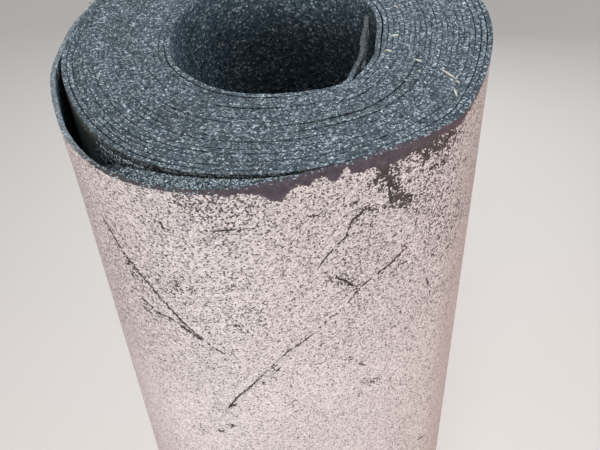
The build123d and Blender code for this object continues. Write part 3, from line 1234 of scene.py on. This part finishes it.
class StudioSettings(bpy.types.PropertyGroup):
    """Camera, lamps and floor"""

    floor_colour: colour_property("Floor", "Colour of the floor", (0.83, 0.82, 0.80))
    fill: strength_property("Fill", "Strength of the light from all round", 0.41)
    key: strength_property("Key", "Power of the large lamp, in watts", 17.5)
    sky: strength_property("Sky", "Power of the bluish lamp above, in watts", 3.2)
    warm_right: strength_property(
        "Warm right", "Power of the warm lamp at the right, in watts", 3.8
    )
    warm_left: strength_property("Warm left", "Power of the warm lamp at the left, in watts", 2.2)
    rear: strength_property("Rear", "Power of the lamp behind the roll, in watts", 7.0)
    lens: bpy.props.FloatProperty(
        name="Lens", description="Focal length of the camera, in millimetres", default=54.0
    )
    heading: angle_property("Heading", "How far the camera is turned from +Y towards +X", 0.0185)
    tilt: angle_property("Tilt", "How far the camera looks down", 0.8124)
    roll: angle_property("Roll", "How far the camera is turned about its own axis", 0.056)
    back: length_property(
        "Back", "How far the camera stands in front of the bore's axis", 0.3485
    )
    above: length_property("Above", "How far the camera is above the roll's upper end", 0.2378)


def camera_turn(heading, tilt, roll):
    """How the camera is turned: heading from +Y, tilt down, then roll about its own axis."""
    ahead = Vector((sin(heading) * cos(tilt), cos(heading) * cos(tilt), -sin(tilt)))
    level = Vector((cos(heading), -sin(heading), 0.0))
    down = ahead.cross(level)
    right = level * cos(roll) + down * sin(roll)
    lower = down * cos(roll) - level * sin(roll)
    return Matrix((right, -lower, -ahead)).transposed()


def set_camera(scene, studio, height):
    """Stands the camera where the photograph was taken from."""
    camera = bpy.data.cameras.new("camera")
    camera.lens, camera.sensor_width, camera.sensor_fit = studio.lens, 36.0, "HORIZONTAL"
    stand = bpy.data.objects.new("camera", camera)
    scene.collection.objects.link(stand)
    place = Vector((0.0, -studio.back * DRAWN_IN, height + studio.above * DRAWN_IN))
    turn = camera_turn(studio.heading, studio.tilt, studio.roll)
    stand.matrix_world = Matrix.Translation(place) @ turn.to_4x4()
    scene.camera = stand


def hang_lamp(scene, height, name, power, colour, size, place):
    """A round lamp that is aimed a little below the roll's upper end."""
    light = bpy.data.lights.new(name, "AREA")
    light.shape, light.size, light.color, light.energy = "DISK", size, colour, power
    lamp = bpy.data.objects.new(name, light)
    scene.collection.objects.link(lamp)
    lamp.location = Vector(place) + Vector((0, 0, height))
    aim = Vector((0, 0, height - AIM_BELOW)) - lamp.location
    lamp.rotation_euler = aim.to_track_quat("-Z", "Y").to_euler()


def set_world(scene, fill, seen_colour):
    """White light from all round. Views and reflections see the floor's colour instead."""
    world = bpy.data.worlds.new("studio")
    scene.world = world
    world.use_nodes = True
    nodes, links = world.node_tree.nodes, world.node_tree.links
    light, seen = nodes["Background"], nodes.new("ShaderNodeBackground")
    light.inputs["Strength"].default_value = fill
    light.inputs["Color"].default_value = (1.0, 1.0, 1.0, 1.0)
    seen.inputs["Color"].default_value = (*seen_colour, 1.0)
    path, either = nodes.new("ShaderNodeLightPath"), nodes.new("ShaderNodeMath")
    either.operation = "MAXIMUM"
    links.new(path.outputs["Is Camera Ray"], either.inputs[0])
    links.new(path.outputs["Is Glossy Ray"], either.inputs[1])
    mix = nodes.new("ShaderNodeMixShader")
    for source, socket in zip((either, light, seen), mix.inputs):
        links.new(source.outputs[0], socket)
    links.new(mix.outputs[0], nodes["World Output"].inputs["Surface"])


class FELT_OT_set_stage(bpy.types.Operator):
    """Lays the floor and sets the camera and the lamps"""

    bl_idname = "felt.set_stage"
    bl_label = "Set stage"

    def execute(self, context):
        scene, studio = context.scene, context.scene.felt_studio
        height, pale = scene.felt_winding.width, tuple(studio.floor_colour)
        bpy.ops.object.select_all(action="DESELECT")
        bpy.ops.mesh.primitive_plane_add(size=FLOOR_SIZE, location=(0, 0, 0))
        ground = bpy.context.object
        ground.name = "studio_floor"
        f = Finish("studio_floor")
        ground.data.materials.append(f.done(f.mix(f.noise(0.4), pale, shade(pale, 0.97)), 0.9, 0.1))

        set_camera(scene, studio, height)
        for name, colour, size, place in LAMPS:
            hang_lamp(scene, height, name, getattr(studio, name), colour, size, place)
        set_world(scene, studio.fill, pale)
        scene.view_settings.view_transform = "Standard"
        return {"FINISHED"}


class FELT_PT_panel(bpy.types.Panel):
    """The roll's steps and settings"""

    bl_idname = "FELT_PT_panel"
    bl_label = "Roll of Felt"
    bl_space_type = "VIEW_3D"
    bl_region_type = "UI"
    bl_category = "Felt"

    def draw(self, context):
        for step in STEPS:
            self.layout.operator(step.bl_idname)
        for group in GROUPS:
            box, settings = self.layout.box(), getattr(context.scene, group)
            for name in settings.bl_rna.properties.keys():
                if name not in {"rna_type", "name"}:
                    box.prop(settings, name)


GROUPS = {"felt_winding": FeltWinding, "felt_finish": FeltFinish, "felt_studio": StudioSettings}
STEPS = (
    FELT_OT_set_stage,
    FELT_OT_wind_inner_turns,
    FELT_OT_hang_outer_turn,
    FELT_OT_lodge_granules,
    FELT_OT_drop_splinters,
)


def register():
    for name, group in GROUPS.items():
        bpy.utils.register_class(group)
        setattr(bpy.types.Scene, name, bpy.props.PointerProperty(type=group))
    for step in (*STEPS, FELT_PT_panel):
        bpy.utils.register_class(step)


def unregister():
    for step in reversed((*STEPS, FELT_PT_panel)):
        bpy.utils.unregister_class(step)
    for name, group in GROUPS.items():
        delattr(bpy.types.Scene, name)
        bpy.utils.unregister_class(group)


def main():
    register()
    bpy.ops.felt.set_stage()
    bpy.ops.felt.wind_inner_turns()
    bpy.ops.felt.hang_outer_turn()
    bpy.ops.felt.lodge_granules()
    bpy.ops.felt.drop_splinters()


if __name__ == "__main__":
    main()
